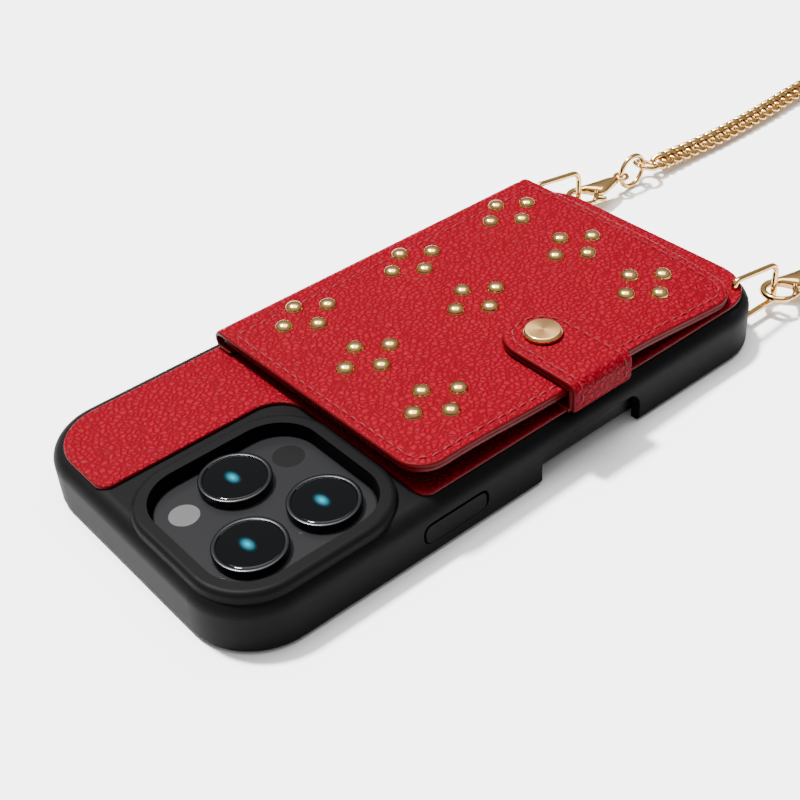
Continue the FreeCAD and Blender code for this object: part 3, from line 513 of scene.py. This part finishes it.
UNDER = [(-30.6, FLAP_START + 0.15, 0.5), (FLAP_NEAR - 0.15, FLAP_START + 0.15, 6.35),
         (FLAP_NEAR - 0.15, FLAP_END - 0.15, 6.35), (-30.6, FLAP_END - 0.15, 0.5)]
under_top = FLAP_TOP - LEATHER - 0.04
under_rows = [(1.5, under_top - LINING, 0), (0.25, under_top - LINING, 0),
              (0.05, under_top - LINING + 0.1, 1), (0.0, under_top - LINING + 0.25, 1),
              (0.0, under_top - 0.12, 1), (0.2, under_top, 1), (2.0, under_top, 0)]
under = sheet("flap_underside", UNDER, under_rows, [lining_red, edge_paint],
              [cut for cut in cuts if cut[0] == "y" or cut[1] > -29.5], settle_flap, step=1.0)
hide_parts("flap_lining", "flap_board")
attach(under, "flap")


def flap_frame(x, y):
    """Middle point on the flap's face and its upward normal."""
    height = FLAP_TOP + float(flap_drop(x, y))
    slope_x = float(flap_drop(x + 0.5, y) - flap_drop(x - 0.5, y))
    slope_y = float(flap_drop(x, y + 0.5) - flap_drop(x, y - 0.5))
    return Vector((x, y, height)), Vector((-slope_x, -slope_y, 1)).normalized()


def dome(radius, rise):
    """A low dome with a small collar, standing on z = 0."""
    profile = [(radius, -0.1), (radius, 0.12)]
    profile += [(radius * 0.97 * math.cos(a), 0.18 + (rise - 0.18) * math.sin(a))
                for a in np.linspace(0.0, 1.45, 9)]
    return lathe((0, 0), profile, 32)[:2]


parts = []
dome_points, dome_faces = dome(STUD_RADIUS, STUD_RISE)
for row in (-1, 0, 1):
    for column in (-1, 0, 1):
        if (row, column) == (1, 0):
            continue
        for shift_x, shift_y in ((STUD_HALF_X, 0), (-STUD_HALF_X, 0),
                                 (0, STUD_HALF_Y), (0, -STUD_HALF_Y)):
            x = STUD_X + STUD_PITCH_X * row + shift_x
            y = STUD_Y + STUD_PITCH_Y * column + shift_y
            spot, normal = flap_frame(x, y)
            turn = normal.to_track_quat("Z", "Y").to_matrix()
            parts.append(([spot + turn @ Vector(p) for p in dome_points], dome_faces))
studs = make_mesh("gold_studs", *merge(parts), [gold])
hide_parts("dome_studs")
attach(studs, "flap")
dress("snap_post", gold)


def stitch_row(points, place, length=2.1, gap=0.75, radius=0.2):
    """Short raised stitches along a flat line; place gives a point and a normal for each end."""
    points = np.asarray(points, float)
    steps = np.linalg.norm(np.diff(points, axis=0), axis=1)
    travel = np.concatenate([[0], np.cumsum(steps)])
    count = int(travel[-1] / (length + gap))
    pitch = travel[-1] / count
    made = []
    for k in range(count):
        along = np.linspace(k * pitch, k * pitch + length * pitch / (length + gap), 5)
        plan = np.column_stack([np.interp(along, travel, points[:, i]) for i in (0, 1)])
        sink = (-0.16, 0.02, 0.06, 0.02, -0.16)
        line = []
        for (x, y), rise in zip(plan, sink):
            spot, normal = place(x, y)
            line.append(spot + normal * rise)
        made.append(tube(line, [radius * 0.6, radius, radius, radius, radius * 0.6], 6))
    return made


line = outline([(HINGE_X + 1.5, FLAP_START, 0.5), (FLAP_NEAR, FLAP_START, 6.5),
                (FLAP_NEAR, FLAP_END, 6.5), (HINGE_X + 1.5, FLAP_END, 0.5)], 2.1, step=1.0)
first = int(np.argmin(np.hypot(line[:, 0] - line[:, 0].min(), line[:, 1] - line[:, 1].min())))
line = np.roll(line, -first, 0)
stitches = make_mesh("flap_stitches", *merge(stitch_row(line, flap_frame)), [thread])
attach(stitches, "flap")


# ---------------------------------------------------------------- closing tab and snap

TIP = TAB_X - TAB_WIDTH / 2
BEND = 2.25
LEVEL = TAB_FOLD - BEND - TIP            # straight tongue
DROP = 3.4                               # straight side
CURL = 1.9                               # the turned-in foot
TAB_LENGTH = LEVEL + BEND * math.pi / 2 + DROP + CURL * math.radians(75)


def tab_place(s, y, depth):
    """A point of the bent tab: s from the tongue's tip along its outer face, depth inwards."""
    top = TAB_TOP
    if s <= LEVEL:
        return (TIP + s, y, top - depth)
    s -= LEVEL
    quarter = BEND * math.pi / 2
    if s <= quarter:
        a = s / BEND
        return (TAB_FOLD - BEND + (BEND - depth) * math.sin(a), y,
                top - BEND + (BEND - depth) * math.cos(a))
    s -= quarter
    if s <= DROP:
        return (TAB_FOLD - depth, y, top - BEND - s)
    a = (s - DROP) / CURL
    return (TAB_FOLD - CURL + (CURL - depth) * math.cos(a), y,
            top - BEND - DROP - (CURL - depth) * math.sin(a))


def bend_tab(points):
    return np.array([tab_place(s, y, TAB_TOP - z) for s, y, z in points])


low_y, high_y = TAB_Y - TAB_WIDTH / 2, TAB_Y + TAB_WIDTH / 2
TAB = [(0, low_y, 8.49), (TAB_LENGTH, low_y, 1.6), (TAB_LENGTH, high_y, 1.6), (0, high_y, 8.49)]
cuts = [("x", s) for s in np.arange(LEVEL - 0.5, TAB_LENGTH - 0.3, 0.3)]
tab_top = sheet("tab_leather_face", TAB, layer_rows(TAB_TOP - 1.08, TAB_TOP, 1, 1, 0),
                [leather, edge_paint], cuts, bend_tab, step=0.6)
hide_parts("tab_leather")
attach(tab_top, "tab")
under_rows = [(1.5, TAB_TOP - 1.95, 0), (0.25, TAB_TOP - 1.95, 1), (0.05, TAB_TOP - 1.85, 1),
              (0.0, TAB_TOP - 1.7, 1), (0.0, TAB_TOP - 1.3, 1), (0.18, TAB_TOP - 1.12, 1),
              (1.5, TAB_TOP - 1.12, 0)]
tab_under = sheet("tab_lining_face", TAB, under_rows, [lining_red, edge_paint], cuts, bend_tab,
                  step=0.6)
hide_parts("tab_lining")
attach(tab_under, "tab")


def tab_frame(s, y):
    face = Vector(tab_place(s, y, 0))
    inner = Vector(tab_place(s, y, 0.5))
    return face, (face - inner).normalized()


line = outline(TAB, 2.1, step=0.6)
first = int(np.argmax(line[:, 0] - 0.01 * line[:, 1]))
line = np.roll(line, -first, 0)
line = line[line[:, 0] < TAB_LENGTH - 2.5]
stitches = make_mesh("tab_stitches", *merge(stitch_row(line, tab_frame)), [thread])
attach(stitches, "tab")

cap_profile = [(3.65, TAB_TOP - 0.05), (3.97, TAB_TOP + 0.05), (4.2, TAB_TOP + 0.25),
               (4.25, TAB_TOP + 0.4), (4.25, TAB_TOP + 0.85), (4.21, TAB_TOP + 0.95),
               (3.85, TAB_TOP + 1.32), (3.75, TAB_TOP + 1.38), (3.6, TAB_TOP + 1.4)]
points, faces, rows = lathe((TAB_X, TAB_Y), cap_profile, 96)
cap = make_mesh("snap_cap_face", points, faces, [gold, gold_brushed],
                [1 if row >= 7 else 0 for row in rows], sharp=25)
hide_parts("snap_cap")
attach(cap, "tab")
dress("snap_socket", gold)


# ---------------------------------------------------------------- bails, clasps and rings

for side in ("far", "near"):
    dress(side + "_bail", gold, 60)
    dress(side + "_jump_ring", gold, 60)
    dress(side + "_end_link", gold, 60)
    dress(side + "_clasp_pin", gold)
    dress(side + "_clasp_spring", steel)


def arc_path(radius, first, last, count=28):
    return [(radius * math.cos(a), radius * math.sin(a), 0.0)
            for a in np.radians(np.linspace(first, last, count))]


def loft(sections, sides=24):
    """A smooth body through (centre x, y, half width, half thickness) sections along Y."""
    points, faces = [], []
    for x, y, wide, thick in sections:
        for k in range(sides):
            a = 2 * math.pi * k / sides
            points.append((x + wide * math.cos(a), y, thick * math.sin(a)))
    for i in range(len(sections) - 1):
        for k in range(sides):
            n = (k + 1) % sides
            faces.append([i * sides + k, (i + 1) * sides + k, (i + 1) * sides + n, i * sides + n])
    faces.append(list(range(sides)))
    faces.append([(len(sections) - 1) * sides + k for k in range(sides)][::-1])
    return points, faces


def clasp(side, x):
    """Lobster clasp about its hook's middle: bowed hook, swelling body, lever and eye."""
    centre = np.array((x, CLASP_Y, CLASP_Z))
    taper = np.interp(np.linspace(0, 1, 40), [0, 0.15, 0.85, 1], [1.0, 1.0, 0.85, 0.55])
    bow = tube(arc_path(3.75, 118, 362, 40), 0.92 * taper, 14)
    body = loft([(-2.6, 1.9, 0.9, 0.9), (-2.3, 2.8, 1.4, 1.15), (-0.9, 4.0, 2.7, 1.4),
                 (-0.2, 5.2, 3.1, 1.5), (0.0, 6.6, 2.9, 1.5), (0.0, 8.4, 2.4, 1.45),
                 (0.0, 10.2, 1.9, 1.4), (0.0, 11.4, 1.6, 1.3), (0.0, 11.9, 1.3, 1.1),
                 (0.0, 12.1, 0.9, 0.85)])
    neck = tube([(0, 12.0, 0), (0, 12.3, 0), (0, 12.9, 0), (0, 13.4, 0)],
                [1.05, 1.05, 0.8, 0.75], 16)
    collar = tube([(0, 12.4, 0), (0, 12.5, 0), (0, 12.8, 0), (0, 12.9, 0)], [1.0, 1.25, 1.25, 1.0], 18)
    eye = tube([(1.75 * math.cos(a), 15.05 + 1.75 * math.sin(a), 0)
                for a in np.linspace(0, 2 * math.pi, 32, endpoint=False)], 0.52, 12, True)
    points, faces = merge([bow, body, neck, collar, eye])
    made = make_mesh(side + "_clasp_shape", np.array(points) + centre, faces, [gold], sharp=60)
    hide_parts(side + "_clasp_body")
    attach(made, "case")
    lever = tube(arc_path(3.8, 6, 58, 16), np.interp(np.arange(16), [0, 3, 15], [0.55, 0.75, 0.8]), 12)
    thumb = tube([(3.6, 2.6, 0), (4.4, 3.1, 0), (5.0, 3.5, 0), (5.3, 3.8, 0)],
                 [0.8, 0.75, 0.7, 0.45], 12)
    points, faces = merge([lever, thumb])
    trigger = make_mesh(side + "_lever_shape", np.array(points) + centre, faces, [gold], sharp=60)
    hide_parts(side + "_clasp_lever")
    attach(trigger, side + "_lever")
    return [made, trigger]


on_chain = clasp("far", -BAIL_X) + clasp("near", BAIL_X + NEAR_SHIFT)


# ---------------------------------------------------------------- free chain and its coil

FAR_ROUTE = [(-31.8, 114.6, 3.3), (-31.3, 126.0, 2.62), (-30.4, 141.0, 2.62), (-30.9, 160.0, 2.62),
             (-32.6, 180.0, 2.62), (-31.6, 196.0, 2.62), (-22.5, 207.5, 2.62), (-8.0, 211.8, 2.62),
             (9.0, 210.8, 2.62), (26.6, 209.6, 2.9)]
NEAR_ROUTE = [(32.4, 114.6, 3.3), (32.8, 123.5, 2.62), (36.8, 131.8, 3.6), (43.2, 137.2, 6.0),
              (49.6, 140.9, 8.0)]
COIL = (40.0, 175.0)
COIL_OUTER, COIL_PITCH = 34.6, 5.2
COIL_START, COIL_END, COIL_TURNS = 92.0, 305.0, 7
INWARD_TURNS, COIL_LOW = 3, 3.2
NEAR_TILTED, FAR_TILTED = 45, 190        # lengths at its two ends where the links lie tilted


def coil_route():
    """Three turns inwards on the lower layer, a short climb, and three outwards above it."""
    total = COIL_START - COIL_END + 360 * COIL_TURNS
    climb = total - 2 * INWARD_TURNS * 360
    spots = []
    for turned in np.arange(0, total + 0.1, 12.0):
        if turned < INWARD_TURNS * 360:
            radius = COIL_OUTER - COIL_PITCH * turned / 360
        elif turned < INWARD_TURNS * 360 + climb:
            radius = COIL_OUTER - COIL_PITCH * INWARD_TURNS
        else:
            outward = turned - INWARD_TURNS * 360 - climb
            radius = COIL_OUTER - COIL_PITCH * INWARD_TURNS + COIL_PITCH * outward / 360
        climbed = float(smooth(turned, INWARD_TURNS * 360, INWARD_TURNS * 360 + climb))
        height = COIL_LOW + COIL_PITCH * climbed
        a = math.radians(COIL_START - turned)
        spots.append((COIL[0] + radius * math.cos(a), COIL[1] + radius * math.sin(a), height))
    return spots


route = FAR_ROUTE + coil_route() + NEAR_ROUTE[::-1]
curve = bpy.data.curves.new("chain_line", "CURVE")
curve.dimensions = "3D"
curve.resolution_u = 12
spline = curve.splines.new("NURBS")
spline.points.add(len(route) - 1)
for point, spot in zip(spline.points, route):
    point.co = (spot[0] * MM, spot[1] * MM, spot[2] * MM, 1.0)
spline.order_u = 3
spline.use_endpoint_u = True
holder = bpy.data.objects.new("chain_line", curve)
line_mesh = bpy.data.meshes.new_from_object(holder)
chain_line = np.array([vertex.co[:] for vertex in line_mesh.vertices]) / MM
bpy.data.objects.remove(holder)
bpy.data.meshes.remove(line_mesh)


def curb_link(length, width, twist, wire, steps=20, sides=8):
    """One twisted oval link about the origin, lying along X."""
    path = [(length / 2 * math.cos(a), width / 2 * math.sin(a), twist * math.sin(2 * a))
            for a in np.linspace(0, 2 * math.pi, steps, endpoint=False)]
    points, faces = tube(path, wire / 2, sides, True)
    points = np.array(points)
    flat = 0.42 * wire + twist * 0.55
    points[:, 2] = np.clip(points[:, 2], -flat, flat)
    return points, faces


def build_chain(points):
    travel = np.concatenate([[0], np.cumsum(np.linalg.norm(np.diff(points, axis=0), axis=1))])
    count = int(travel[-1] / CHAIN_PITCH)
    along = (np.arange(count) + 0.5) * travel[-1] / count
    spots = np.column_stack([np.interp(along, travel, points[:, i]) for i in range(3)])
    ahead = np.column_stack([np.interp(along + 1.5, travel, points[:, i]) for i in range(3)])
    behind = np.column_stack([np.interp(along - 1.5, travel, points[:, i]) for i in range(3)])
    ways = ahead - behind
    ways /= np.linalg.norm(ways, axis=1)[:, None]
    link, link_faces = curb_link(5.0, CHAIN_WIDTH - CHAIN_WIRE, 0.9, CHAIN_WIRE)
    made = []
    for k, (spot, way) in enumerate(zip(spots, ways)):
        side = np.cross((0, 0, 1), way)
        side /= np.linalg.norm(side)
        up = np.cross(way, side)
        free = along[k] < FAR_TILTED or along[k] > travel[-1] - NEAR_TILTED
        roll = math.radians(36 + 12 * math.sin(along[k] / 17.0) if free else 20.0)
        across = math.cos(roll) * side + math.sin(roll) * up
        normal = np.cross(way, across)
        made.append((spot + link @ np.array([way, across, normal]), link_faces))
    return merge(made), travel[-1]


(chain_points, chain_faces), chain_length = build_chain(chain_line)
chain = make_mesh("curb_chain", chain_points, chain_faces, [gold], sharp=60)
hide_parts("chain_far_run", "chain_near_run", "chain_coil")
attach(chain, "case")
dress("coil_tie", tie_red)
for side in ("far", "near"):
    on_chain += [nodes[side + part] for part in ("_clasp_pin", "_clasp_spring", "_jump_ring",
                                                 "_end_link")]
on_chain.append(nodes["coil_tie"])
print("chain length %.0f mm" % chain_length)


# ---------------------------------------------------------------- stage, light and camera

def plane(name, size, material, place):
    made = make_mesh(name, [(-size, -size, 0), (size, -size, 0), (size, size, 0), (-size, size, 0)],
                     [[0, 1, 2, 3]], [material])
    made.matrix_world = place
    return made


floor_pale = new_material("pale_floor", (0.80, 0.80, 0.80), 0.9, Specular_IOR_Level=0.1)
plane("floor", 3000, floor_pale, Matrix.Translation((0, 0, -0.0002)))


def area_light(name, spot, target, size, power, colour=(1, 1, 1)):
    data = bpy.data.lights.new(name, "AREA")
    data.shape = "RECTANGLE"
    data.size, data.size_y = size
    data.energy = power
    data.color = colour
    lamp = bpy.data.objects.new(name, data)
    bpy.context.scene.collection.objects.link(lamp)
    lamp.location = spot
    lamp.rotation_euler = (Vector(target) - Vector(spot)).to_track_quat("-Z", "Y").to_euler()
    return lamp


area_light("overhead_softbox", (-0.15, 0.15, 1.2), (0, 0, 0), (1.0, 0.8), 22.0)

sun_data = bpy.data.lights.new("key_lamp", "SUN")
sun_data.energy = 16.0
sun_data.angle = math.radians(7.0)
sun = bpy.data.objects.new("key_lamp", sun_data)
bpy.context.scene.collection.objects.link(sun)
sun.rotation_euler = Vector((0.38, 0.06, -0.92)).to_track_quat("-Z", "Y").to_euler()

world = bpy.data.worlds.new("studio")
world.use_nodes = True
sky = world.node_tree.nodes["Background"]
sky.inputs["Strength"].default_value = 1.0
height = world.node_tree.nodes.new("ShaderNodeSeparateXYZ")
toward = world.node_tree.nodes.new("ShaderNodeTexCoord")
shade = world.node_tree.nodes.new("ShaderNodeMapRange")
shade.inputs["To Min"].default_value = 0.08
shade.inputs["To Max"].default_value = 0.95
world.node_tree.links.new(toward.outputs["Generated"], height.inputs["Vector"])
world.node_tree.links.new(height.outputs["Z"], shade.inputs["Value"])
world.node_tree.links.new(shade.outputs["Result"], sky.inputs["Color"])
bpy.context.scene.world = world

camera_data = bpy.data.cameras.new("camera")
camera_data.sensor_width = 36.0
camera_data.lens = 61.0
camera = bpy.data.objects.new("camera", camera_data)
bpy.context.scene.collection.objects.link(camera)
right = Vector((0.6435, 0.7630, -0.0617)).normalized()
back = Vector((0.6261, -0.4782, 0.6159)).normalized()
up = back.cross(right).normalized()
right = up.cross(back)
turn = Matrix((right, up, back)).transposed().to_4x4()
camera.matrix_world = Matrix.Translation((0.1871, -0.1484, 0.1880)) @ turn
bpy.context.scene.camera = camera
